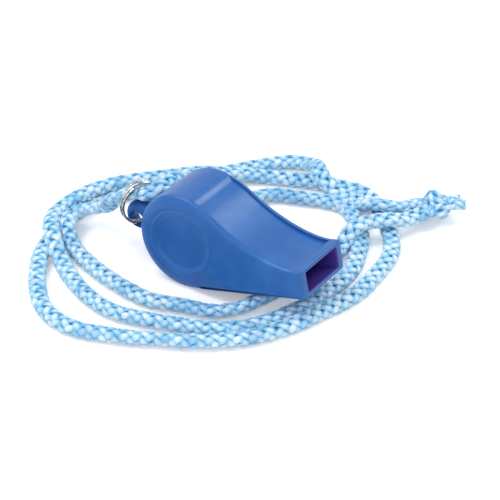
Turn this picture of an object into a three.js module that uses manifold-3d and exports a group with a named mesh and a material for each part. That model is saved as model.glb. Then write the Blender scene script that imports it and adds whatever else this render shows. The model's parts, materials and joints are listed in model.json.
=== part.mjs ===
import * as THREE from "three";
import { mergeVertices } from "three/addons/utils/BufferGeometryUtils.js";
import Module from "manifold-3d";

// Pea whistle lying upside down on its lanyard, millimetres, +X to the mouth, +Z up.

// Whistle body, in its own frame: origin at the chamber centre, +X to the mouth, +Z to the belly.
const CHAMBER_R = 13.7;
const CAVITY_R = 11.8;
const BODY_WIDTH = 20.0;
const COVER_T = 1.7;
const SEAM_GAP = 0.3;
const MOUTH_X = 37.1;
const ROOF_AT_MOUTH = -12.7;
const MOUTH_TOP = [37.35, -4.35];
const BELLY_DROP = 0.6;
const LIP_X = 34.9;
const LIP_Z = -4.15;
const EDGE_R = 1.3;
// Belly line from the chamber to the mouth, along the proud rims of the side covers.
const BELLY_LINE = [
  [4.9, 12.79],
  [9.9, 9.8],
  [15.6, 4.7],
  [20.2, 1.3],
  [26.2, -1.9],
  [32.0, -3.8],
  MOUTH_TOP,
];

// Windway, window and ramp in the roof.
const SLOT_HALF_W = 7.2;
const SLOT_FLOOR = -11.2;
const SLOT_TOP_MOUTH = -5.7;
const SLOT_TOP_INNER = -9.7;
const WINDOW_X = [7.0, 12.5];
const BLADE_Z = -11.7;

// Round pocket in each side cover.
const POCKET_R = 8.5;
const POCKET_DEPTH = 0.55;

// Lug at the back of the chamber.
const LUG = { x: -19.7, z: 2.4, r: 4.2, halfT: 2.4 };
const EYE = { x: -20.2, z: 1.3, r: 2.1, flareR: 2.7 };

// Pea.
const PEA_R = 4.8;
const PEA_ORBIT = 6.75;

// Split ring.
const RING_R = 5.9;
const WIRE_D = 0.9;
const RING_PITCH = 1.0;
const RING_YAW = 27;
const RING_SAG = 1.3;

// Pose of the whistle: nose raised by the cord under the mouth, chamber on the table.
const PITCH_DEG = 12.8;
const CHAMBER_AT = [-7.45, 0, CHAMBER_R];

// Lanyard.
const CORD_D = 3.8;
const LEG_A = [
  [-27.4, -0.4, 18.2],
  [-31.7, -1.2, 16.7],
  [-36.3, -0.9, 13.5],
  [-40.1, 1.7, 9.2],
  [-44.8, 3.0, 6.4],
  [-48.2, 1.7, 5.6],
  [-49.4, -2.5, 5.6],
  [-47.6, -7.3, 5.0],
  [-44.2, -10.7, 3.2],
  [-40.8, -12.7, 2.1],
  [-35.2, -15.5, 2.0],
  [-27.3, -18.5, 2.0],
  [-18.0, -20.9, 2.0],
  [-9.4, -21.8, 2.0],
  [-0.5, -19.3, 2.0],
  [8.0, -17.0, 2.0],
  [12.4, -12.5, 2.0],
  [15.0, -6.9, 2.4],
  [17.6, 1.1, 3.0],
  [18.8, 10.1, 3.0],
  [19.4, 19.1, 2.2],
  [19.8, 27.6, 2.4],
  [19.8, 32.3, 5.2],
  [21.0, 36.3, 6.3],
  [23.2, 39.9, 6.3],
  [26.2, 42.7, 6.3],
  [28.6, 46.5, 5.0],
  [30.4, 51.6, 4.6],
  [30.9, 53.2, 4.6],
];
const LEG_B = [
  [-26.8, -0.3, 18.3],
  [-24.4, 0.0, 18.9],
  [-22.6, 2.4, 19.9],
  [-22.2, 6.4, 19.9],
  [-22.6, 10.4, 18.9],
  [-22.2, 14.0, 16.0],
  [-21.2, 17.6, 11.4],
  [-19.8, 21.7, 6.8],
  [-18.6, 25.5, 3.2],
  [-17.4, 30.1, 2.2],
  [-15.8, 36.1, 2.1],
  [-12.2, 41.3, 2.0],
  [-4.6, 44.5, 2.0],
  [3.4, 47.1, 2.0],
  [8.6, 47.3, 2.0],
  [14.4, 43.3, 2.0],
  [18.8, 38.9, 2.0],
  [21.8, 34.9, 2.0],
  [25.4, 27.1, 2.0],
  [27.9, 19.1, 2.0],
  [28.0, 7.1, 2.0],
  [25.0, -6.4, 2.0],
  [20.4, -16.1, 2.0],
  [14.8, -22.3, 2.0],
  [5.7, -26.5, 2.0],
  [-4.8, -29.8, 2.0],
  [-14.3, -31.5, 2.0],
  [-24.0, -29.3, 2.0],
  [-34.0, -24.1, 2.0],
  [-40.4, -19.6, 2.6],
  [-44.2, -17.2, 4.8],
  [-47.0, -14.6, 6.2],
  [-50.6, -10.7, 6.2],
  [-53.8, -4.0, 5.8],
  [-54.0, 2.9, 5.8],
  [-52.4, 10.3, 6.2],
  [-49.4, 16.5, 6.2],
  [-45.4, 21.9, 6.2],
  [-38.2, 29.5, 6.2],
  [-33.7, 34.7, 6.2],
  [-28.4, 40.9, 4.4],
  [-22.4, 47.1, 2.3],
  [-13.0, 51.5, 2.0],
  [-4.9, 54.3, 2.0],
  [2.6, 56.3, 2.0],
  [9.0, 56.7, 2.0],
  [15.4, 53.5, 2.0],
  [21.2, 47.9, 2.0],
  [29.1, 39.0, 2.0],
  [33.0, 31.1, 2.0],
  [34.4, 21.1, 2.0],
  [34.8, 11.1, 2.0],
  [31.6, -1.9, 2.0],
  [27.6, -13.1, 2.0],
  [21.4, -22.9, 2.0],
  [12.4, -30.7, 2.0],
  [2.7, -35.8, 2.0],
  [-8.6, -40.9, 2.0],
  [-20.4, -43.5, 2.0],
  [-30.4, -40.1, 2.0],
  [-37.7, -33.5, 2.0],
  [-44.2, -24.7, 2.0],
  [-48.4, -17.0, 2.0],
  [-50.6, -9.3, 2.0],
  [-52.0, -3.3, 2.0],
  [-51.8, 3.1, 2.0],
  [-51.2, 10.3, 2.0],
  [-48.8, 16.7, 2.0],
  [-44.8, 22.3, 2.0],
  [-37.7, 31.5, 2.0],
  [-32.6, 40.1, 2.0],
  [-28.2, 47.5, 2.0],
  [-23.0, 54.5, 2.0],
  [-17.6, 60.3, 2.0],
  [-12.4, 61.3, 2.6],
  [-8.0, 58.9, 4.8],
  [-4.6, 55.3, 6.3],
  [-1.0, 52.5, 5.2],
  [3.6, 51.7, 2.6],
  [8.4, 51.9, 2.0],
  [13.2, 49.7, 2.8],
  [17.4, 48.5, 5.4],
  [21.4, 48.7, 6.3],
  [24.6, 51.5, 5.2],
  [26.3, 55.1, 4.7],
  [27.1, 56.3, 4.6],
];
const KNOT_AT = [32.6, 58.5, 4.8];
const KNOT_RADII = [4.7, 4.7, 4.5];
const TAILS = [
  { from: [37.2, 60.8, 4.8], to: [39.4, 62.2, 4.6] },
  { from: [34.3, 63.4, 4.8], to: [35.6, 65.6, 4.6] },
];

const wasm = await Module();
wasm.setup();

const material = (color) => new THREE.MeshStandardMaterial({ color, roughness: 0.5 });

function mesh(name, geometry, color) {
  const m = new THREE.Mesh(geometry, material(color));
  m.name = name;
  return m;
}

function toManifold(geometry) {
  const g = geometry.clone();
  g.deleteAttribute("normal");
  g.deleteAttribute("uv");
  const merged = mergeVertices(g, 1e-4);
  return new wasm.Manifold(
    new wasm.Mesh({
      numProp: 3,
      vertProperties: Float32Array.from(merged.attributes.position.array),
      triVerts: Uint32Array.from(merged.index.array),
    }),
  );
}

function toGeometry(solid) {
  const m = solid.getMesh();
  const g = new THREE.BufferGeometry();
  g.setAttribute("position", new THREE.BufferAttribute(Float32Array.from(m.vertProperties), 3));
  g.setIndex(new THREE.BufferAttribute(Uint32Array.from(m.triVerts), 1));
  const flat = g.toNonIndexed();
  flat.computeVertexNormals();
  return flat;
}

// Belly line sampled as a smooth curve, lowered by `drop` between the chamber and the lip.
function bellyPoints(drop) {
  const line = new THREE.CatmullRomCurve3(BELLY_LINE.map(([x, z]) => new THREE.Vector3(x, z, 0)));
  const pts = [];
  for (let i = 0; i <= 36; i += 1) {
    const p = line.getPoint(i / 36);
    if (p.x < LIP_X - 0.9) pts.push(new THREE.Vector2(p.x, p.y - (p.x > 5.6 ? drop : 0)));
  }
  pts.push(new THREE.Vector2(LIP_X - 0.4, LIP_Z - drop), new THREE.Vector2(LIP_X, LIP_Z));
  pts.push(new THREE.Vector2(...MOUTH_TOP));
  return pts;
}

// Side view of the whistle: roof, mouth, belly line and the back of the chamber.
function sideShape(drop) {
  const pts = [new THREE.Vector2(0, -CHAMBER_R), new THREE.Vector2(MOUTH_X, ROOF_AT_MOUTH)];
  pts.push(...bellyPoints(drop).reverse());
  const start = Math.atan2(BELLY_LINE[0][1], BELLY_LINE[0][0]);
  const end = 1.5 * Math.PI;
  const steps = 60;
  for (let i = 1; i < steps; i += 1) {
    const a = start + ((end - start) * i) / steps;
    pts.push(new THREE.Vector2(CHAMBER_R * Math.cos(a), CHAMBER_R * Math.sin(a)));
  }
  return new THREE.Shape(pts);
}

// Prism from a side-view shape, spanning y0..y1.
function prism(shape, y0, y1, bevel = 0) {
  const g = new THREE.ExtrudeGeometry(shape, {
    depth: y1 - y0 - 2 * bevel,
    bevelEnabled: bevel > 0,
    bevelThickness: bevel,
    bevelSize: bevel,
    bevelOffset: -bevel,
    bevelSegments: 3,
    curveSegments: 48,
  });
  g.rotateX(Math.PI / 2);
  g.translate(0, y1 - bevel, 0);
  return toManifold(g);
}

function polygon(points) {
  return new THREE.Shape(points.map(([x, z]) => new THREE.Vector2(x, z)));
}

function discShape(x, z, r) {
  return new THREE.Shape().absarc(x, z, r, 0, 2 * Math.PI, false);
}

// Solid of revolution about the Y axis through (x, z).
function turnedAboutY(profile, x, z) {
  const g = new THREE.LatheGeometry(profile.map(([r, y]) => new THREE.Vector2(r, y)), 40);
  g.translate(x, 0, z);
  return toManifold(g);
}

function bodyBand() {
  const half = BODY_WIDTH / 2 - COVER_T - SEAM_GAP;
  const lugOuter = prism(discShape(LUG.x, LUG.z, LUG.r), -LUG.halfT, LUG.halfT, 0.9);
  const neck = prism(
    polygon([
      [LUG.x, LUG.z - LUG.r],
      [-10.5, LUG.z - LUG.r],
      [-10.5, LUG.z + LUG.r],
      [LUG.x, LUG.z + LUG.r],
    ]),
    -LUG.halfT,
    LUG.halfT,
    0.9,
  );
  const hole = turnedAboutY(
    [
      [0, -LUG.halfT - 1],
      [EYE.flareR + 0.5, -LUG.halfT - 1],
      [EYE.flareR, -LUG.halfT],
      [EYE.r + 0.2, -1.2],
      [EYE.r, -0.5],
      [EYE.r, 0.5],
      [EYE.r + 0.2, 1.2],
      [EYE.flareR, LUG.halfT],
      [EYE.flareR + 0.5, LUG.halfT + 1],
      [0, LUG.halfT + 1],
    ],
    EYE.x,
    EYE.z,
  );
  const windway = prism(
    polygon([
      [WINDOW_X[1] - 0.1, SLOT_FLOOR],
      [MOUTH_X + 2, SLOT_FLOOR],
      [MOUTH_X + 2, SLOT_TOP_MOUTH],
      [MOUTH_X - 9, SLOT_TOP_MOUTH],
      [WINDOW_X[1] - 0.1, SLOT_TOP_INNER],
    ]),
    -SLOT_HALF_W,
    SLOT_HALF_W,
  );
  const window = prism(
    polygon([
      [WINDOW_X[0], -CHAMBER_R - 1],
      [WINDOW_X[1], -CHAMBER_R - 1],
      [WINDOW_X[1], SLOT_TOP_INNER],
      [WINDOW_X[0], -6],
    ]),
    -SLOT_HALF_W,
    SLOT_HALF_W,
  );
  const ramp = prism(
    polygon([
      [1.6, -CHAMBER_R - 0.5],
      [WINDOW_X[0] + 0.2, -CHAMBER_R - 0.5],
      [WINDOW_X[0] + 0.2, BLADE_Z],
      [1.6, -CHAMBER_R + 0.2],
    ]),
    -SLOT_HALF_W,
    SLOT_HALF_W,
  );
  return prism(sideShape(BELLY_DROP), -half, half)
    .add(lugOuter)
    .add(neck)
    .subtract(hole)
    .subtract(prism(discShape(0, 0, CAVITY_R), -half - 1, half + 1))
    .subtract(windway)
    .subtract(window)
    .subtract(ramp);
}

function sideCover() {
  const outer = BODY_WIDTH / 2;
  const inner = outer - COVER_T;
  const plate = prism(sideShape(0), inner - 2 * EDGE_R, outer, EDGE_R);
  const cut = new THREE.BoxGeometry(80, 10, 80);
  cut.translate(0, inner - 5, 0);
  const pocket = turnedAboutY(
    [
      [0, outer - POCKET_DEPTH],
      [POCKET_R - 0.35, outer - POCKET_DEPTH],
      [POCKET_R, outer - 0.1],
      [POCKET_R + 0.3, outer + 1],
      [0, outer + 1],
    ],
    0,
    0,
  );
  return plate.subtract(toManifold(cut)).subtract(pocket);
}

function splitRing() {
  const turns = 2;
  const start = THREE.MathUtils.degToRad(115);
  const pts = [];
  for (let i = 0; i <= 72; i += 1) {
    const t = i / 72;
    const a = start + turns * 2 * Math.PI * t;
    pts.push(new THREE.Vector3(RING_R * Math.cos(a), RING_PITCH * turns * (t - 0.5), RING_R * Math.sin(a)));
  }
  const wire = new THREE.Shape().absarc(0, 0, WIRE_D / 2, 0, 2 * Math.PI, false);
  const g = new THREE.ExtrudeGeometry(wire, {
    steps: 72,
    curveSegments: 4,
    bevelEnabled: false,
    extrudePath: new THREE.CatmullRomCurve3(pts),
  });
  g.translate(0, 0, RING_R - RING_SAG);
  g.rotateZ(THREE.MathUtils.degToRad(90 - RING_YAW));
  return g;
}

// Round cord along a list of points, with its steps spread evenly over the list so bends stay smooth.
function cordTube(points, steps) {
  const path = new THREE.CatmullRomCurve3(points.map((p) => new THREE.Vector3(...p)));
  path.getPointAt = path.getPoint;
  path.getTangentAt = path.getTangent;
  const section = new THREE.Shape().absarc(0, 0, CORD_D / 2, 0, 2 * Math.PI, false);
  return new THREE.ExtrudeGeometry(section, {
    steps,
    curveSegments: 4,
    bevelEnabled: false,
    extrudePath: path,
  });
}

const whistle = new THREE.Group();
whistle.position.set(...CHAMBER_AT);
whistle.rotation.y = -THREE.MathUtils.degToRad(PITCH_DEG);
const cover = sideCover();
whistle.add(mesh("whistle_body", toGeometry(bodyBand()), 0x3f66ab));
whistle.add(mesh("side_cover_far", toGeometry(cover), 0x3f66ab));
whistle.add(mesh("side_cover_near", toGeometry(cover.mirror([0, 1, 0])), 0x3f66ab));

const pea = new THREE.SphereGeometry(PEA_R, 24, 16);
pea.translate(CHAMBER_AT[0], 0, CHAMBER_AT[2] - PEA_ORBIT);

const pitch = THREE.MathUtils.degToRad(PITCH_DEG);
const ring = splitRing();
ring.translate(
  CHAMBER_AT[0] + EYE.x * Math.cos(pitch) - EYE.z * Math.sin(pitch),
  0,
  CHAMBER_AT[2] + EYE.x * Math.sin(pitch) + EYE.z * Math.cos(pitch),
);

const knot = new THREE.SphereGeometry(1, 20, 14);
knot.scale(...KNOT_RADII);
knot.translate(...KNOT_AT);

const part = new THREE.Group();
part.add(whistle);
part.add(mesh("pea", pea, 0xb58a5a));
part.add(mesh("split_ring", ring, 0xb8bcc2));
part.add(mesh("lanyard_leg_a", cordTube(LEG_A, 22), 0x8cc6ea));
part.add(mesh("lanyard_leg_b", cordTube(LEG_B, 62), 0x8cc6ea));
part.add(mesh("lanyard_knot", knot, 0x8cc6ea));
TAILS.forEach((tail, i) => {
  part.add(mesh(`lanyard_tail_${i + 1}`, cordTube([tail.from, tail.to], 1), 0x8cc6ea));
});

export default part;
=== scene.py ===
import json
import math

import bmesh
import bpy
import numpy as np
from mathutils import Matrix, Vector
from mathutils.geometry import tessellate_polygon


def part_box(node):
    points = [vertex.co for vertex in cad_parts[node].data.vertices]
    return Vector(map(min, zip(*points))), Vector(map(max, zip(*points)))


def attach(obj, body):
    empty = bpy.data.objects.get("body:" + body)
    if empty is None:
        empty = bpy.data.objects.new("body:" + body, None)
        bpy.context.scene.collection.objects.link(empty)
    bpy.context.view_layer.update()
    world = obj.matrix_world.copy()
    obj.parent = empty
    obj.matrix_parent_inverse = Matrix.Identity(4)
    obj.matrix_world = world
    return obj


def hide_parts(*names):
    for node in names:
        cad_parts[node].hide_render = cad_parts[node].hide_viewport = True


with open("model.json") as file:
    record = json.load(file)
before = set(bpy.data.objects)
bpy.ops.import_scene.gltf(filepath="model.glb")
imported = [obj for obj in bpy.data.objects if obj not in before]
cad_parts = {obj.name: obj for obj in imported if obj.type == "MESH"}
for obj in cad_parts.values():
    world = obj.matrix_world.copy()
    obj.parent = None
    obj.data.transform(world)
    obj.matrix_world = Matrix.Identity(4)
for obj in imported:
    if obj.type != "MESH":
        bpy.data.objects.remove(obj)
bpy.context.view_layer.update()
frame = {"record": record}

MM = 0.001
ROOT = "whistle"


# ---------------------------------------------------------------- camera and stage
TARGET = Vector((0.00275, 0.0081, 0.00585))
AZIMUTH = math.radians(33.4)
ELEVATION = math.radians(32.1)
DISTANCE = 0.5947
LENS_MM = 158.4

forward = Vector((
    -math.sin(AZIMUTH) * math.cos(ELEVATION),
    math.cos(AZIMUTH) * math.cos(ELEVATION),
    -math.sin(ELEVATION),
))
camera_data = bpy.data.cameras.new("camera")
camera_data.lens = LENS_MM
camera_data.sensor_width = 36.0
camera_data.clip_start = 0.05
camera = bpy.data.objects.new("camera", camera_data)
camera.location = TARGET - forward * DISTANCE
camera.rotation_euler = forward.to_track_quat("-Z", "Y").to_euler()
bpy.context.scene.collection.objects.link(camera)
bpy.context.scene.camera = camera


# ---------------------------------------------------------------- small helpers
def link(obj):
    bpy.context.scene.collection.objects.link(obj)
    return obj


def mesh_object(name, verts, faces, mat, smooth_angle=40):
    mesh = bpy.data.meshes.new(name)
    mesh.from_pydata([tuple(v) for v in verts], [], [tuple(f) for f in faces])
    mesh.validate()
    mesh.update()
    obj = link(bpy.data.objects.new(name, mesh))
    mesh.materials.append(mat)
    shade(mesh, smooth_angle)
    return obj


def shade(mesh, smooth_angle):
    mesh.polygons.foreach_set("use_smooth", [True] * len(mesh.polygons))
    mesh.set_sharp_from_angle(angle=math.radians(smooth_angle))


def outward(obj):
    bm = bmesh.new()
    bm.from_mesh(obj.data)
    bmesh.ops.remove_doubles(bm, verts=bm.verts, dist=1e-7)
    bmesh.ops.recalc_face_normals(bm, faces=bm.faces)
    bm.to_mesh(obj.data)
    bm.free()


def spline(points, step):
    """Centripetal Catmull-Rom curve through points, resampled at an even step."""
    p = np.array(points, float)
    p = np.vstack([2 * p[0] - p[1], p, 2 * p[-1] - p[-2]])
    out = []
    for i in range(1, len(p) - 2):
        p0, p1, p2, p3 = p[i - 1:i + 3]
        t1 = np.linalg.norm(p1 - p0) ** 0.5
        t2 = t1 + np.linalg.norm(p2 - p1) ** 0.5
        t3 = t2 + np.linalg.norm(p3 - p2) ** 0.5
        for t in np.linspace(t1, t2, 40, endpoint=False):
            a1 = (t1 - t) / t1 * p0 + t / t1 * p1
            a2 = (t2 - t) / (t2 - t1) * p1 + (t - t1) / (t2 - t1) * p2
            a3 = (t3 - t) / (t3 - t2) * p2 + (t - t2) / (t3 - t2) * p3
            b1 = (t2 - t) / t2 * a1 + t / t2 * a2
            b2 = (t3 - t) / (t3 - t1) * a2 + (t - t1) / (t3 - t1) * a3
            out.append((t2 - t) / (t2 - t1) * b1 + (t - t1) / (t2 - t1) * b2)
    out.append(p[-2])
    out = np.array(out)
    run = np.concatenate([[0], np.cumsum(np.linalg.norm(np.diff(out, axis=0), axis=1))])
    n = max(2, int(round(run[-1] / step)) + 1)
    at = np.linspace(0, run[-1], n)
    return np.column_stack([np.interp(at, run, out[:, k]) for k in range(out.shape[1])])


def smoothstep(a, b, x):
    t = np.clip((np.asarray(x, float) - a) / (b - a), 0, 1)
    return t * t * (3 - 2 * t)


# ---------------------------------------------------------------- materials
class Nodes:
    def __init__(self, name):
        self.mat = bpy.data.materials.new(name)
        self.mat.use_nodes = True
        self.tree = self.mat.node_tree
        self.bsdf = self.tree.nodes["Principled BSDF"]

    def add(self, kind, **values):
        node = self.tree.nodes.new(kind)
        for key, value in values.items():
            if key in node.inputs:
                node.inputs[key].default_value = value
            else:
                setattr(node, key, value)
        return node

    def link(self, source, target):
        self.tree.links.new(source, target)

    def set(self, **values):
        for key, value in values.items():
            self.bsdf.inputs[key.replace("_", " ")].default_value = value

    def noise(self, scale, detail=3.0, roughness=0.5, stretch=None):
        coord = self.add("ShaderNodeTexCoord")
        noise = self.add("ShaderNodeTexNoise", Scale=scale, Detail=detail, Roughness=roughness)
        if stretch:
            mapping = self.add("ShaderNodeMapping", Scale=stretch)
            self.link(coord.outputs["Object"], mapping.inputs["Vector"])
            self.link(mapping.outputs["Vector"], noise.inputs["Vector"])
        else:
            self.link(coord.outputs["Object"], noise.inputs["Vector"])
        return noise.outputs["Fac"]

    def ramp(self, source, stops):
        ramp = self.add("ShaderNodeValToRGB")
        elements = ramp.color_ramp.elements
        while len(elements) < len(stops):
            elements.new(0.5)
        for element, (position, color) in zip(elements, stops):
            element.position = position
            element.color = color
        self.link(source, ramp.inputs["Fac"])
        return ramp.outputs["Color"]

    def span(self, source, low, high, to_low, to_high):
        node = self.add("ShaderNodeMapRange")
        for key, value in zip(("From Min", "From Max", "To Min", "To Max"), (low, high, to_low, to_high)):
            node.inputs[key].default_value = value
        self.link(source, node.inputs["Value"])
        return node.outputs["Result"]

    def mix(self, factor, a, b, blend="MIX"):
        node = self.add("ShaderNodeMix", data_type="RGBA", blend_type=blend)
        for key, value in zip((0, 6, 7), (factor, a, b)):
            if hasattr(value, "links"):
                self.link(value, node.inputs[key])
            else:
                node.inputs[key].default_value = value
        return node.outputs[2]

    def bump(self, height, strength, distance):
        bump = self.add("ShaderNodeBump", Strength=strength, Distance=distance)
        self.link(height, bump.inputs["Height"])
        self.link(bump.outputs["Normal"], self.bsdf.inputs["Normal"])
        return bump


def rgb(r, g, b):
    """sRGB bytes to a linear colour."""
    def linear(c):
        c /= 255
        return c / 12.92 if c <= 0.04045 else ((c + 0.055) / 1.055) ** 2.4
    return (linear(r), linear(g), linear(b), 1.0)


def blue_plastic():
    """Moulded blue with faint flow marks."""
    m = Nodes("blue_plastic")
    mottle = m.noise(90, 4, 0.55)
    flow = m.noise(38, 2, 0.5, stretch=(1, 1, 2.4))
    base = m.ramp(mottle, [(0.30, rgb(30, 88, 162)), (0.55, rgb(38, 98, 172)), (0.75, rgb(50, 112, 184))])
    violet = m.mix(m.span(flow, 0.45, 0.75, 0.0, 0.45), base, rgb(50, 92, 166))
    m.link(violet, m.bsdf.inputs["Base Color"])
    scuffs = m.noise(260, 6, 0.7, stretch=(1, 0.3, 1))
    m.link(m.span(scuffs, 0.3, 0.7, 0.30, 0.44), m.bsdf.inputs["Roughness"])
    m.set(IOR=1.47, Coat_Weight=0.10, Coat_Roughness=0.22, Subsurface_Weight=0.08)
    m.bsdf.inputs["Subsurface Radius"].default_value = (0.2, 0.4, 1.0)
    m.bsdf.inputs["Subsurface Scale"].default_value = 0.0008
    m.bsdf.inputs["Specular Tint"].default_value = (0.62, 0.88, 1.0, 1.0)
    m.bump(m.noise(420, 4, 0.6), 0.06, 0.0002)
    return m.mat


def painted_shade_plastic():
    """A darker violet copy of the same plastic for inside the windway: painted shade, its violet hue
    standing in for the dim light that passes through the walls there.
    """
    m = Nodes("painted_shade_plastic")
    base = m.ramp(m.noise(120, 3, 0.5), [(0.3, rgb(70, 36, 128)), (0.7, rgb(62, 52, 146))])
    m.link(base, m.bsdf.inputs["Base Color"])
    m.set(Roughness=0.5, IOR=1.47)
    return m.mat


def cord_material():
    m = Nodes("blue_cord")
    depth = m.add("ShaderNodeAttribute", attribute_name="depth")
    fibre = m.add("ShaderNodeTexNoise", Scale=1.0, Detail=3.0, Roughness=0.6)
    stretch = m.add("ShaderNodeMapping", Scale=(0.9, 8.0, 1.0))
    uv = m.add("ShaderNodeUVMap", uv_map="strand_uv")
    m.link(uv.outputs["UV"], stretch.inputs["Vector"])
    m.link(stretch.outputs["Vector"], fibre.inputs["Vector"])
    # Painted light: the ramp turns depth into colour, from deep teal painted shade under the strands and
    # in the gaps to near-white painted highlight on the strands that pass over.
    painted_light = m.ramp(depth.outputs["Fac"], [
        (0.0, rgb(12, 108, 166)), (0.30, rgb(36, 138, 196)), (0.55, rgb(92, 178, 226)),
        (0.78, rgb(160, 213, 244)), (1.0, rgb(232, 245, 252)),
    ])
    streak = m.span(fibre.outputs["Fac"], 0.42, 0.72, 0.0, 0.5)
    color = m.mix(streak, painted_light, rgb(206, 234, 250))
    # Random worn patches, laid over the painted-light colour.
    patch = m.noise(150, 2, 0.5)
    worn_with_painted_light = m.mix(m.span(patch, 0.46, 0.66, 0.0, 0.6), color, rgb(74, 164, 216))
    m.link(worn_with_painted_light, m.bsdf.inputs["Base Color"])
    m.set(Roughness=0.42, Sheen_Weight=0.3, Sheen_Roughness=0.4, IOR=1.5)
    m.bsdf.inputs["Sheen Tint"].default_value = (0.85, 0.95, 1.0, 1.0)
    m.bump(fibre.outputs["Fac"], 0.5, 0.0002)
    return m.mat


def nickel():
    m = Nodes("nickel")
    m.set(Metallic=1.0)
    drawn = m.noise(700, 3, 0.6, stretch=(1, 1, 4))
    base = m.ramp(drawn, [(0.38, rgb(132, 134, 136)), (0.62, rgb(214, 214, 208))])
    m.link(base, m.bsdf.inputs["Base Color"])
    m.link(m.span(drawn, 0.3, 0.7, 0.12, 0.24), m.bsdf.inputs["Roughness"])
    m.bump(drawn, 0.05, 0.0001)
    return m.mat


def cork():
    m = Nodes("cork")
    grain = m.noise(900, 5, 0.65)
    m.link(
        m.ramp(grain, [(0.30, rgb(110, 72, 40)), (0.5, rgb(178, 134, 86)), (0.7, rgb(204, 164, 112))]),
        m.bsdf.inputs["Base Color"],
    )
    m.set(Roughness=0.85)
    m.bump(grain, 0.4, 0.0004)
    return m.mat


def floor_material():
    m = Nodes("studio_floor")
    m.set(Base_Color=(0.93, 0.935, 0.94, 1.0), Roughness=0.85)
    m.bsdf.inputs["Specular IOR Level"].default_value = 0.1
    m.bsdf.inputs["Emission Color"].default_value = (1.0, 1.0, 1.0, 1.0)
    path = m.add("ShaderNodeLightPath")
    m.link(m.span(path.outputs["Is Camera Ray"], 0, 1, 0.0, 0.28), m.bsdf.inputs["Emission Strength"])
    return m.mat


BLUE = blue_plastic()
PAINTED_SHADE_INSIDE = painted_shade_plastic()
CORD = cord_material()
NICKEL = nickel()
CORK = cork()


# ---------------------------------------------------------------- lanyard
CORD_WIDTH = 5.0
CORD_THICK = 3.7
STRANDS_EACH_WAY = 4
BRAID_PITCH = 14.5
STRAND_W = 1.95
STRAND_T = 0.95
WEAVE = 0.30
CAD_LOW, CAD_CROSS = 2.0, 6.3

LEG_A = [
    (-27.4, -0.4, 18.2), (-31.7, -1.2, 16.7), (-36.3, -0.9, 13.5), (-40.1, 1.7, 9.2), (-44.8, 3.0, 6.4),
    (-48.2, 1.7, 5.6), (-49.4, -2.5, 5.6), (-47.6, -7.3, 5.0), (-44.2, -10.7, 3.2), (-40.8, -12.7, 2.1),
    (-35.2, -15.5, 2.0), (-27.3, -18.5, 2.0), (-18.0, -20.9, 2.0), (-9.4, -21.8, 2.0), (-0.5, -19.3, 2.0),
    (8.0, -17.0, 2.0), (12.4, -12.5, 2.0), (15.0, -6.9, 2.4), (17.6, 1.1, 3.0), (18.8, 10.1, 3.0),
    (19.4, 19.1, 2.2), (19.8, 27.6, 2.4), (19.8, 32.3, 5.2), (21.0, 36.3, 6.3), (23.2, 39.9, 6.3),
    (26.2, 42.7, 6.3), (28.6, 46.5, 5.0), (30.4, 51.6, 4.6), (30.9, 53.2, 4.6),
]
LEG_B = [
    (-26.8, -0.3, 18.3), (-24.4, 0.0, 18.9), (-22.6, 2.4, 19.9), (-22.2, 6.4, 19.9), (-22.6, 10.4, 18.9),
    (-22.2, 14.0, 16.0), (-21.2, 17.6, 11.4), (-19.8, 21.7, 6.8), (-18.6, 25.5, 3.2), (-17.4, 30.1, 2.2),
    (-15.8, 36.1, 2.1), (-12.2, 41.3, 2.0), (-4.6, 44.5, 2.0), (3.4, 47.1, 2.0), (8.6, 47.3, 2.0),
    (14.4, 43.3, 2.0), (18.8, 38.9, 2.0), (21.8, 34.9, 2.0), (25.4, 27.1, 2.0), (27.9, 19.1, 2.0),
    (28.0, 7.1, 2.0), (25.0, -6.4, 2.0), (20.4, -16.1, 2.0), (14.8, -22.3, 2.0), (5.7, -26.5, 2.0),
    (-4.8, -29.8, 2.0), (-14.3, -31.5, 2.0), (-24.0, -29.3, 2.0), (-34.0, -24.1, 2.0), (-40.4, -19.6, 2.6),
    (-44.2, -17.2, 4.8), (-47.0, -14.6, 6.2), (-50.6, -10.7, 6.2), (-53.8, -4.0, 5.8), (-54.0, 2.9, 5.8),
    (-52.4, 10.3, 6.2), (-49.4, 16.5, 6.2), (-45.4, 21.9, 6.2), (-38.2, 29.5, 6.2), (-33.7, 34.7, 6.2),
    (-28.4, 40.9, 4.4), (-22.4, 47.1, 2.3), (-13.0, 51.5, 2.0), (-4.9, 54.3, 2.0), (2.6, 56.3, 2.0),
    (9.0, 56.7, 2.0), (15.4, 53.5, 2.0), (21.2, 47.9, 2.0), (29.1, 39.0, 2.0), (33.0, 31.1, 2.0),
    (34.4, 21.1, 2.0), (34.8, 11.1, 2.0), (31.6, -1.9, 2.0), (27.6, -13.1, 2.0), (21.4, -22.9, 2.0),
    (12.4, -30.7, 2.0), (2.7, -35.8, 2.0), (-8.6, -40.9, 2.0), (-20.4, -43.5, 2.0), (-30.4, -40.1, 2.0),
    (-37.7, -33.5, 2.0), (-44.2, -24.7, 2.0), (-48.4, -17.0, 2.0), (-50.6, -9.3, 2.0), (-52.0, -3.3, 2.0),
    (-51.8, 3.1, 2.0), (-51.2, 10.3, 2.0), (-48.8, 16.7, 2.0), (-44.8, 22.3, 2.0), (-37.7, 31.5, 2.0),
    (-32.6, 40.1, 2.0), (-28.2, 47.5, 2.0), (-23.0, 54.5, 2.0), (-17.6, 60.3, 2.0), (-12.4, 61.3, 2.6),
    (-8.0, 58.9, 4.8), (-4.6, 55.3, 6.3), (-1.0, 52.5, 5.2), (3.6, 51.7, 2.6), (8.4, 51.9, 2.0),
    (13.2, 49.7, 2.8), (17.4, 48.5, 5.4), (21.4, 48.7, 6.3), (24.6, 51.5, 5.2), (26.3, 55.1, 4.7),
    (27.1, 56.3, 4.6),
]
KNOT = (32.6, 58.5, 4.8)


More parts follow.
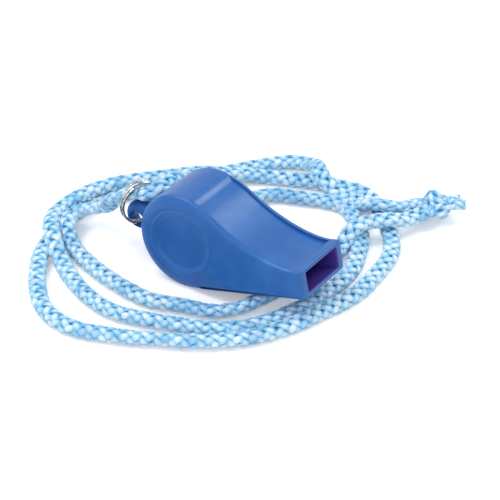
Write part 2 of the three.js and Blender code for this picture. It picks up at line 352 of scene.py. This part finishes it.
def settled(points):
    """The flattened cord lies lower than a round tube: its centre follows the route's heights down."""
    p = np.array(points, float)
    low = CORD_THICK / 2 + 0.05
    cross = low + CORD_THICK + 0.1
    p[:, 2] = np.interp(p[:, 2], [0, CAD_LOW, CAD_CROSS, 16, 30], [low - CAD_LOW, low, cross, 16, 30])
    return p


def cord_frames(path, roll):
    """Unit vectors across the cord's width and thickness at each point of its path."""
    tangent = np.gradient(path, axis=0)
    tangent /= np.linalg.norm(tangent, axis=1)[:, None]
    across = np.cross([0, 0, 1], tangent)
    across /= np.linalg.norm(across, axis=1)[:, None]
    up = np.cross(tangent, across)
    c, s = np.cos(roll)[:, None], np.sin(roll)[:, None]
    return across * c + up * s, up * c - across * s


def braid(name, path, roll, width=CORD_WIDTH, thick=CORD_THICK, phase=0.0, sides=6, rng_seed=1):
    """Flattened maypole braid: strands wind both ways round an oval core and pass over and under."""
    rng = np.random.default_rng(rng_seed)
    run = np.concatenate([[0], np.cumsum(np.linalg.norm(np.diff(path, axis=0), axis=1))])
    across, up = cord_frames(path, roll)
    half_w = width / 2 - STRAND_T / 2 - WEAVE
    half_t = thick / 2 - STRAND_T / 2 - WEAVE
    tubes = []
    for way in (1, -1):
        for k in range(STRANDS_EACH_WAY):
            turn = phase + 2 * math.pi * (k + 0.25 * (way > 0)) / STRANDS_EACH_WAY
            wobble = 0.10 * np.sin(run / 7.3 + rng.uniform(0, 6))
            wobble += 0.06 * np.sin(run / 2.9 + rng.uniform(0, 6))
            angle = turn + way * 2 * math.pi * run / BRAID_PITCH + wobble
            over = way * np.cos(STRANDS_EACH_WAY * (angle - phase) - math.pi / 4)
            lift = WEAVE * over
            squeeze = angle - 0.18 * np.sin(2 * angle)
            cu, su = np.cos(squeeze), np.sin(squeeze)
            flat_c = np.sign(cu) * np.abs(cu) ** 0.85
            flat_s = np.sign(su) * np.abs(su) ** 0.70
            centre = path + across * ((half_w + lift) * flat_c)[:, None]
            centre = centre + up * ((half_t + lift) * flat_s)[:, None]
            normal = across * (cu / half_w)[:, None] + up * (su / half_t)[:, None]
            normal /= np.linalg.norm(normal, axis=1)[:, None]
            along = np.gradient(centre, axis=0)
            along /= np.linalg.norm(along, axis=1)[:, None]
            side = np.cross(normal, along)
            side /= np.linalg.norm(side, axis=1)[:, None]
            normal = np.cross(along, side)
            w = STRAND_W * width / CORD_WIDTH * (1 + 0.06 * np.sin(run / 5.1 + rng.uniform(0, 6)))
            tone = rng.uniform(-0.08, 0.08)
            rings, depth = [], []
            for j in range(sides):
                a = 2 * math.pi * (j + 0.5) / sides
                sideways = centre + side * (w / 2 * math.cos(a))[:, None]
                rings.append(sideways + normal * (STRAND_T / 2 * math.sin(a)))
                # Painted light in depth: lighter where the strand passes over and on its outer face
                # (painted highlight), darker where it passes under and on the face towards the core
                # (painted shade); tone is a random difference between strands.
                depth.append(0.50 + 0.30 * over + 0.22 * math.sin(a) + tone)
            tubes.append((np.array(rings), np.array(depth)))
    core = []
    for j in range(10):
        a = 2 * math.pi * j / 10
        core.append(path + across * ((half_w - 0.15) * math.cos(a)) + up * ((half_t - 0.15) * math.sin(a)))
    # The core gets depth 0, the darkest painted shade of the cord colour ramp, seen in the gaps between
    # the strands.
    tubes.append((np.array(core), np.zeros((10, len(path)))))
    return build_cord(name, tubes, run)


def build_cord(name, tubes, run):
    """One mesh of capped tubes; each tube is (points by side and station, depth at those points), where
    depth is the painted light value: low for painted shade, high for painted highlight.
    """
    faces, uvs = [], []
    start = 0
    for k, (rings, _) in enumerate(tubes):
        sides, n = rings.shape[:2]
        for j in range(sides):
            a, b = start + j * n, start + (j + 1) % sides * n
            v0, v1 = j / sides + 2 * k, (j + 1) / sides + 2 * k
            for i in range(n - 1):
                faces.append((a + i, a + i + 1, b + i + 1, b + i))
                uvs += [run[i], v0, run[i + 1], v0, run[i + 1], v1, run[i], v1]
        faces.append(tuple(start + j * n for j in range(sides)))
        faces.append(tuple(start + j * n + n - 1 for j in reversed(range(sides))))
        uvs += [0.0] * (4 * sides)
        start += sides * n
    mesh = bpy.data.meshes.new(name)
    mesh.from_pydata(np.concatenate([r.reshape(-1, 3) * MM for r, _ in tubes]).tolist(), [], faces)
    mesh.uv_layers.new(name="strand_uv").data.foreach_set("uv", uvs)
    # depth attribute: the painted shade and painted highlight value read by the cord material.
    depth = mesh.attributes.new("depth", "FLOAT", "POINT")
    depth.data.foreach_set("value", np.clip(np.concatenate([d.ravel() for _, d in tubes]), 0, 1))
    mesh.materials.append(CORD)
    mesh.polygons.foreach_set("use_smooth", [True] * len(mesh.polygons))
    mesh.update()
    return link(bpy.data.objects.new(name, mesh))


def cord_roll(path, edge_on=()):
    """Slow twists of the flat cord; edge_on lists (first, last, degrees) stretches that stand on edge."""
    run = np.concatenate([[0], np.cumsum(np.linalg.norm(np.diff(path, axis=0), axis=1))])
    roll = 0.22 * np.sin(run / 23.0 + 0.6) + 0.14 * np.sin(run / 9.7)
    for first, last, degrees in edge_on:
        weight = smoothstep(first, first + 14, run) * (1 - smoothstep(last - 14, last, run))
        roll = roll * (1 - weight) + math.radians(degrees) * weight
    return roll


def cord_length(path):
    return float(np.linalg.norm(np.diff(path, axis=0), axis=1).sum())


def lifted(path, roll):
    """Raises the path where the rolled oval would reach lower than the flat one."""
    half_w, half_t = CORD_WIDTH / 2, CORD_THICK / 2
    reach = np.sqrt((half_w * np.sin(roll)) ** 2 + (half_t * np.cos(roll)) ** 2)
    return path + np.outer(reach - half_t, [0, 0, 1])


def make_lanyard():
    path_a = spline(settled(LEG_A + [(31.9, 56.0, 4.6)]), step=0.45)
    path_b = spline(settled(LEG_B + [(29.8, 57.6, 4.6)]), step=0.45)
    total_b = cord_length(path_b)
    roll_a = cord_roll(path_a)
    roll_b = cord_roll(path_b, edge_on=[(total_b - 132, total_b - 84, -32)])
    path_a = lifted(path_a, roll_a)
    path_b = lifted(path_b, roll_b)
    leg_a = braid("cord_leg_a", path_a, roll_a, phase=0.3, rng_seed=3)
    leg_b = braid("cord_leg_b", path_b, roll_b, phase=1.1, rng_seed=5)
    for piece, node in ((leg_a, "lanyard_leg_a"), (leg_b, "lanyard_leg_b")):
        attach(piece, ROOT)
        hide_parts(node)
    knot, tails = make_knot()


def make_knot():
    """Overhand knot: one trefoil-shaped wrap of the doubled cord, and two cut tails."""
    t = np.linspace(0, 2 * math.pi, 260)
    trefoil = np.column_stack([
        np.sin(t) + 2 * np.sin(2 * t),
        np.cos(t) - 2 * np.cos(2 * t),
        -1.25 * np.sin(3 * t),
    ])
    spin = Matrix.Rotation(math.radians(35), 3, "Z") @ Matrix.Rotation(math.radians(38), 3, "Y")
    path = trefoil @ np.array(spin).T * 1.04 + np.array(KNOT)
    knot = braid("cord_knot", path, np.full(len(path), 0.6), width=4.1, thick=3.1, phase=0.2, rng_seed=8)
    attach(knot, ROOT)
    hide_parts("lanyard_knot")
    tails = []
    ends = (((35.0, 60.2, 4.6), (38.9, 62.8, 4.6)), ((34.0, 60.6, 4.8), (36.4, 64.8, 4.5)))
    for i, (start, end) in enumerate(ends):
        line = spline([start, np.add(start, end) / 2 + [0, 0, 0.25], end], step=0.3)
        tail = braid(
            f"cord_tail_{i + 1}", line, np.full(len(line), 0.3),
            width=3.7, thick=2.6, phase=i, rng_seed=20 + i,
        )
        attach(tail, ROOT)
        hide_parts(f"lanyard_tail_{i + 1}")
        tails.append(tail)
    return knot, tails


# ---------------------------------------------------------------- whistle
joints = {joint["name"]: joint for joint in frame["record"]["behaviour"]["joints"]}
CHAMBER = Vector(joints["pea_orbit"]["pos_m"])
EYE = Vector(joints["ring_swing"]["pos_m"])
PITCH = math.radians(12.8)
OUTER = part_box("side_cover_far")[1][1] / MM
CHAMBER_R = 13.7
CAVITY_R = 11.8
SEAM = 8.22
BELLY_DROP = 0.75
BELLY_LINE = [
    (4.9, 12.79), (9.9, 9.8), (15.6, 4.7), (20.2, 1.3), (26.2, -1.9), (32.0, -3.8), (37.35, -4.35),
]
MOUTH_X = 37.1
ROOF_AT_MOUTH = -12.7
POCKET_R = 8.5
POCKET_DEPTH = 0.80
SLOT_HALF_W = 7.3
SLOT_Z = (-11.2, -5.7)
LUG_AT = (-19.7, 2.4)
EYE_AT = (-20.2, 1.3)


def placed(points):
    """Whistle frame in millimetres to the row frame in metres."""
    c, s = math.cos(PITCH), math.sin(PITCH)
    return [
        (CHAMBER.x + (x * c - z * s) * MM, CHAMBER.y + y * MM, CHAMBER.z + (x * s + z * c) * MM)
        for x, y, z in points
    ]


def rounded_corner(before, corner, after, radius, steps=5):
    """Points of an arc that replaces a corner of an outline."""
    b, c, a = (np.array(p, float) for p in (before, corner, after))
    u, v = (b - c) / np.linalg.norm(b - c), (a - c) / np.linalg.norm(a - c)
    half = math.acos(np.clip(u @ v, -1, 1)) / 2
    reach = radius / math.tan(half)
    hub = c + (u + v) / np.linalg.norm(u + v) * radius / math.sin(half)
    start, end = c + u * reach - hub, c + v * reach - hub
    sweep = math.pi - 2 * half
    turn = np.sign(start[0] * end[1] - start[1] * end[0])
    out = []
    for i in range(steps + 1):
        a_i = turn * sweep * i / steps
        out.append(hub + [
            start[0] * math.cos(a_i) - start[1] * math.sin(a_i),
            start[0] * math.sin(a_i) + start[1] * math.cos(a_i),
        ])
    return out


def side_outline(drop):
    """Side view of the whistle, anticlockwise from under the chamber; drop lowers the belly."""
    belly = spline(BELLY_LINE, step=0.6)
    lowered = drop * smoothstep(6.2, 7.3, belly[:, 0]) * (1 - smoothstep(34.0, 35.0, belly[:, 0]))
    belly[:, 1] -= lowered
    belly = [p for p in belly if p[0] < 36.6]
    corner = np.array([MOUTH_X, ROOF_AT_MOUTH])
    heel = np.array([0, -CHAMBER_R])
    roof = [heel + (corner - heel) * t for t in np.linspace(0, 0.97, 40)]
    low = rounded_corner(heel, corner, BELLY_LINE[-1], 0.5)
    high = rounded_corner(corner, BELLY_LINE[-1], belly[-1], 0.7)
    face = [np.array(low[-1]) * (1 - t) + np.array(high[0]) * t for t in np.linspace(0, 1, 14)[1:-1]]
    first = math.atan2(BELLY_LINE[0][1], BELLY_LINE[0][0])
    arc = [
        CHAMBER_R * np.array([math.cos(a), math.sin(a)])
        for a in np.linspace(first, 1.5 * math.pi, 130)[1:-1]
    ]
    return np.array(roof + low + face + high + belly[::-1] + arc)


def outline_normals(loop):
    ahead = np.roll(loop, -1, axis=0) - np.roll(loop, 1, axis=0)
    normal = np.column_stack([ahead[:, 1], -ahead[:, 0]])
    return normal / np.linalg.norm(normal, axis=1)[:, None]


def edge_radius(loop):
    """Width of the rounded edge: broad round the chamber, finer along the neck, slight at the mouth."""
    x, z = loop[:, 0], loop[:, 1]
    radius = np.interp(x, [-13, 2, 9, 20, 34, 36.2, 38], [3.3, 3.3, 1.9, 1.0, 0.9, 0.5, 0.4])
    roof = smoothstep(-11.0, -12.6, z) * smoothstep(-2, 5, x)
    return radius * (1 - roof) + 0.75 * roof


def ring_faces(count, a, b):
    return [(a + i, a + (i + 1) % count, b + (i + 1) % count, b + i) for i in range(count)]


def side_cover(name, side, node):
    loop = side_outline(0.0)
    normal = outline_normals(loop)
    radius = edge_radius(loop)
    depth = OUTER - SEAM - 0.05
    count = len(loop)
    verts = [(x, SEAM, z) for x, z in loop]
    faces = []
    steps = 9
    for k in range(steps + 1):
        a = math.pi / 2 * k / steps
        inset = loop - normal * (radius * (1 - math.cos(a)))[:, None]
        y = OUTER - depth * (1 - math.sin(a))
        verts += [(x, y, z) for x, z in inset]
        faces += ring_faces(count, count * k, count * (k + 1))
    last = count * (steps + 1)
    rings = pocket_rings()
    turns = 120
    first_ring = len(verts)
    for r, y in rings:
        verts += [
            (r * math.cos(2 * math.pi * i / turns), y, r * math.sin(2 * math.pi * i / turns))
            for i in range(turns)
        ]
    for k in range(len(rings) - 1):
        faces += ring_faces(turns, first_ring + turns * k, first_ring + turns * (k + 1))
    centre = len(verts)
    verts.append((0, rings[-1][1], 0))
    tail = first_ring + turns * (len(rings) - 1)
    faces += [(tail + i, tail + (i + 1) % turns, centre) for i in range(turns)]
    outer = [Vector((verts[last + i][0], verts[last + i][2], 0)) for i in range(count)]
    inner = [Vector((verts[first_ring + i][0], verts[first_ring + i][2], 0)) for i in range(turns)]
    index = [last + i for i in range(count)] + [first_ring + i for i in range(turns)]
    faces += [tuple(index[i] for i in tri) for tri in tessellate_polygon([outer, inner])]
    faces.append(tuple(range(count)))
    verts = placed([(x, side * y, z) for x, y, z in verts])
    obj = mesh_object(name, verts, faces, BLUE, 28)
    outward(obj)
    shade(obj.data, 28)
    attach(obj, ROOT)
    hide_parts(node)
    return obj


def pocket_rings():
    """Soft bead and wall of the shallow round pocket, as (radius, height) from the rim inwards."""
    radii = [10.05, 9.85, 9.65, 9.45, 9.25, 9.05, 8.90, 8.75, 8.60, 8.45, 8.30, 8.15]
    radii += [8.0, 7.85, 7.7, 7.5, 7.2, 6.0, 4.5, 3.0, 1.0]
    rings = []
    for r in radii:
        bead = 0.16 * math.exp(-((r - 9.25) / 0.42) ** 2)
        rings.append((r, OUTER - 0.10 + bead - (POCKET_DEPTH - 0.10) * float(smoothstep(8.95, 7.3, r))))
    return rings


def prism(name, loop, y0, y1):
    loop = [tuple(p) for p in loop]
    count = len(loop)
    verts = [(x, y0, z) for x, z in loop] + [(x, y1, z) for x, z in loop]
    faces = ring_faces(count, 0, count) + [tuple(range(count)), tuple(range(2 * count - 1, count - 1, -1))]
    obj = mesh_object(name, placed(verts), faces, BLUE, 28)
    outward(obj)
    return obj


def turned(name, profile, hub, turns=64):
    """Solid of revolution about the Y line through hub; the profile is (radius, y), from axis to axis."""
    verts = []
    faces = []
    for r, y in profile:
        verts += [
            (
                hub[0] + r * math.cos(2 * math.pi * i / turns), y,
                hub[1] + r * math.sin(2 * math.pi * i / turns),
            )
            for i in range(turns)
        ]
    for k in range(len(profile) - 1):
        faces += ring_faces(turns, turns * k, turns * (k + 1))
    faces += [tuple(range(turns)), tuple(range(len(verts) - 1, len(verts) - turns - 1, -1))]
    obj = mesh_object(name, placed(verts), faces, BLUE, 28)
    outward(obj)
    return obj


def combine(obj, others):
    """Applies booleans: others is a list of (operation, object); the other objects are removed."""
    for operation, other in others:
        modifier = obj.modifiers.new("cut", "BOOLEAN")
        modifier.operation = operation
        modifier.object = other
        modifier.solver = "EXACT"
        modifier.material_mode = "TRANSFER"
    graph = bpy.context.evaluated_depsgraph_get()
    mesh = bpy.data.meshes.new_from_object(obj.evaluated_get(graph))
    obj.modifiers.clear()
    obj.data = mesh
    for _, other in others:
        bpy.data.objects.remove(other, do_unlink=True)
    shade(obj.data, 28)


def whistle_body():
    half = SEAM - 0.02
    body = prism("whistle_band", side_outline(BELLY_DROP), -half, half)
    window = (7.0, 12.5)
    slot = rounded_box_section(*SLOT_Z)
    windway = mouth_cutter(slot)
    opening = prism("window_cut", [(window[0], -15), (window[1], -15), (window[1], -9.7), (window[0], -6)],
                    -SLOT_HALF_W, SLOT_HALF_W)
    ramp_side = [(1.6, -14.2), (7.2, -14.2), (7.2, -11.7), (1.6, -13.5)]
    ramp = prism("ramp_cut", ramp_side, -SLOT_HALF_W, SLOT_HALF_W)
    cavity = turned("cavity_cut", [(CAVITY_R, -half - 1), (CAVITY_R, half + 1)], (0, 0), 96)
    combine(body, [("DIFFERENCE", cutter) for cutter in (cavity, windway, opening, ramp)])
    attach(body, ROOT)
    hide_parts("whistle_body")
    return body


def rounded_box_section(z0, z1, corner=0.45, steps=4):
    """Section of the windway at the mouth, as (y, z), with rounded corners."""
    out = []
    for cy, cz, start in (
        (SLOT_HALF_W - corner, z0 + corner, -90), (SLOT_HALF_W - corner, z1 - corner, 0),
        (corner - SLOT_HALF_W, z1 - corner, 90), (corner - SLOT_HALF_W, z0 + corner, 180),
    ):
        for i in range(steps + 1):
            a = math.radians(start + 90 * i / steps)
            out.append((cy + corner * math.cos(a), cz + corner * math.sin(a)))
    return out


def mouth_cutter(section):
    """Windway: the mouth section with a softened edge, running in and tapering towards the window."""
    stations = [(39.0, 0.55), (37.5, 0.42), (37.0, 0.10), (36.6, 0.0), (28.1, 0.0), (12.4, -1.0)]
    verts = []
    for x, flare in stations:
        for y, z in section:
            if flare < 0:
                z = -11.2 + (z + 11.2) * (1.5 / 5.5)
                verts.append((x, y, z))
            else:
                verts.append((x, y + math.copysign(flare, y), z + math.copysign(flare, z + 8.45)))
    count = len(section)
    faces = []
    for k in range(len(stations) - 1):
        faces += ring_faces(count, count * k, count * (k + 1))
    faces += [tuple(range(count)), tuple(range(len(verts) - 1, len(verts) - count - 1, -1))]
    # The cutter carries the violet painted-shade copy of the plastic, which the boolean transfers onto the
    # windway's inside faces.
    obj = mesh_object("windway_cut", placed(verts), faces, PAINTED_SHADE_INSIDE, 28)
    outward(obj)
    return obj


def lug():
    """Rounded eye at the back of the chamber: a flattened loop that flares into the wall."""
    hub = np.array(LUG_AT)
    radius, half_t, hole = 4.2, 2.4, 2.08
    direction = -hub / np.linalg.norm(hub)
    side = np.array([-direction[1], direction[0]])
    reach = 7.6
    outline = []
    for a in np.linspace(math.pi / 2, 1.5 * math.pi, 40):
        outline.append(hub + radius * (direction * math.cos(a) + side * math.sin(a)))
    for t in np.linspace(0, 1, 12)[1:]:
        outline.append(hub - side * (radius + 0.5 * t ** 3) + direction * reach * t)
    for t in np.linspace(1, 0, 12)[:-1]:
        outline.append(hub + side * (radius + 0.5 * t ** 3) + direction * reach * t)
    loop = np.array(outline)
    if np.sum(loop[:, 0] * np.roll(loop[:, 1], -1) - np.roll(loop[:, 0], -1) * loop[:, 1]) < 0:
        loop = loop[::-1]
    normal = outline_normals(loop)
    count = len(loop)
    verts, faces = [], []
    steps = 12
    for k in range(steps + 1):
        a = math.pi * k / steps - math.pi / 2
        inset = loop - normal * 1.5 * (1 - math.cos(a))
        verts += [(x, (half_t - 0.02) * math.sin(a), z) for x, z in inset]
        if k:
            faces += ring_faces(count, count * (k - 1), count * k)
    faces += [tuple(range(count)), tuple(range(len(verts) - 1, len(verts) - count - 1, -1))]
    obj = mesh_object("whistle_lug", placed(verts), faces, BLUE, 40)
    outward(obj)
    depths = np.linspace(-half_t - 0.3, half_t + 0.3, 15)
    profile = [(hole + 0.6 * (abs(y) / half_t) ** 2.4, y) for y in depths]
    combine(obj, [("DIFFERENCE", turned("eye_cut", profile, EYE_AT, 48))])
    shade(obj.data, 50)
    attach(obj, ROOT)
    return obj


def pea():
    bm = bmesh.new()
    bmesh.ops.create_icosphere(bm, subdivisions=5, radius=4.78 * MM)
    low, high = (np.array(v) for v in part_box("pea"))
    middle = Vector((low + high) / 2)
    for v in bm.verts:
        p = v.co / MM
        dent = 0.05 * math.sin(2.1 * p.x + 0.7) * math.sin(2.7 * p.y)
        dent += 0.04 * math.sin(5.3 * p.z + p.x * 3.1)
        v.co = v.co * (1 - abs(dent) * 0.4) + middle
    mesh = bpy.data.meshes.new("cork_pea")
    bm.to_mesh(mesh)
    bm.free()
    obj = link(bpy.data.objects.new("cork_pea", mesh))
    mesh.materials.append(CORK)
    shade(mesh, 60)
    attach(obj, "pea")
    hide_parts("pea")


def split_ring():
    """Two flat-wire turns pressed together, standing in the lug's eye."""
    radius, wire, pitch, yaw, sag = 5.9, 0.86, 1.0, math.radians(27), 1.3
    turns, per_turn, sides = 2.0, 110, 12
    n = int(turns * per_turn) + 1
    start = math.radians(115)
    verts, faces = [], []
    for i in range(n):
        t = i / (n - 1)
        a = start + turns * 2 * math.pi * t
        out = Vector((math.cos(a), 0, math.sin(a)))
        axis = Vector((0, 1, 0))
        middle = out * radius + axis * pitch * turns * (t - 0.5)
        for j in range(sides):
            b = 2 * math.pi * j / sides
            c, s = math.cos(b), math.sin(b)
            c, s = math.copysign(abs(c) ** 0.85, c), math.copysign(abs(s) ** 0.85, s)
            verts.append(middle + out * (wire / 2 * 0.97 * c) + axis * (wire / 2 * 0.97 * s))
        if i:
            base = (i - 1) * sides
            faces += [(base + j, base + (j + 1) % sides, base + sides + (j + 1) % sides, base + sides + j)
                      for j in range(sides)]
    faces += [tuple(range(sides)), tuple(range(len(verts) - 1, len(verts) - sides - 1, -1))]
    turn = Matrix.Rotation(math.pi / 2 - yaw, 4, "Z")
    verts = [EYE + (turn @ (v + Vector((0, 0, radius - sag)))) * MM for v in verts]
    obj = mesh_object("nickel_ring", verts, faces, NICKEL, 50)
    outward(obj)
    shade(obj.data, 50)
    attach(obj, "ring")
    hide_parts("split_ring")


# ---------------------------------------------------------------- studio
def studio():
    size = 3.0
    corners = [(-size, -size, 0), (size, -size, 0), (size, size, 0), (-size, size, 0)]
    floor = mesh_object("studio_floor", corners, [(0, 1, 2, 3)], floor_material())
    world = bpy.data.worlds.new("studio")
    bpy.context.scene.world = world
    world.use_nodes = True
    tree = world.node_tree
    background = tree.nodes["Background"]
    background.inputs["Color"].default_value = (0.97, 0.985, 1.0, 1.0)
    path = tree.nodes.new("ShaderNodeLightPath")
    seen = tree.nodes.new("ShaderNodeMath")
    seen.operation = "MAXIMUM"
    tree.links.new(path.outputs["Is Camera Ray"], seen.inputs[0])
    tree.links.new(path.outputs["Is Glossy Ray"], seen.inputs[1])
    level = tree.nodes.new("ShaderNodeMapRange")
    level.inputs["To Min"].default_value = 0.54
    level.inputs["To Max"].default_value = 1.0
    tree.links.new(seen.outputs[0], level.inputs["Value"])
    tree.links.new(level.outputs["Result"], background.inputs["Strength"])
    area_light("key", (-0.35, -0.15, 0.75), 0.45, 3.2)
    area_light("fill", (0.35, -0.75, 0.45), 0.6, 2.3)
    area_light("top", (0.26, 0.46, 0.55), 0.22, 1.6)


def area_light(name, place, size, watts):
    data = bpy.data.lights.new(name, "AREA")
    data.size = size
    data.energy = watts
    obj = link(bpy.data.objects.new(name, data))
    obj.location = place
    obj.rotation_euler = (Vector((0, 0, 0)) - Vector(place)).to_track_quat("-Z", "Y").to_euler()


make_lanyard()
whistle_body()
side_cover("side_cover_near_skin", -1, "side_cover_near")
side_cover("side_cover_far_skin", 1, "side_cover_far")
lug()
pea()
split_ring()
studio()
bpy.context.scene.view_settings.view_transform = "Standard"
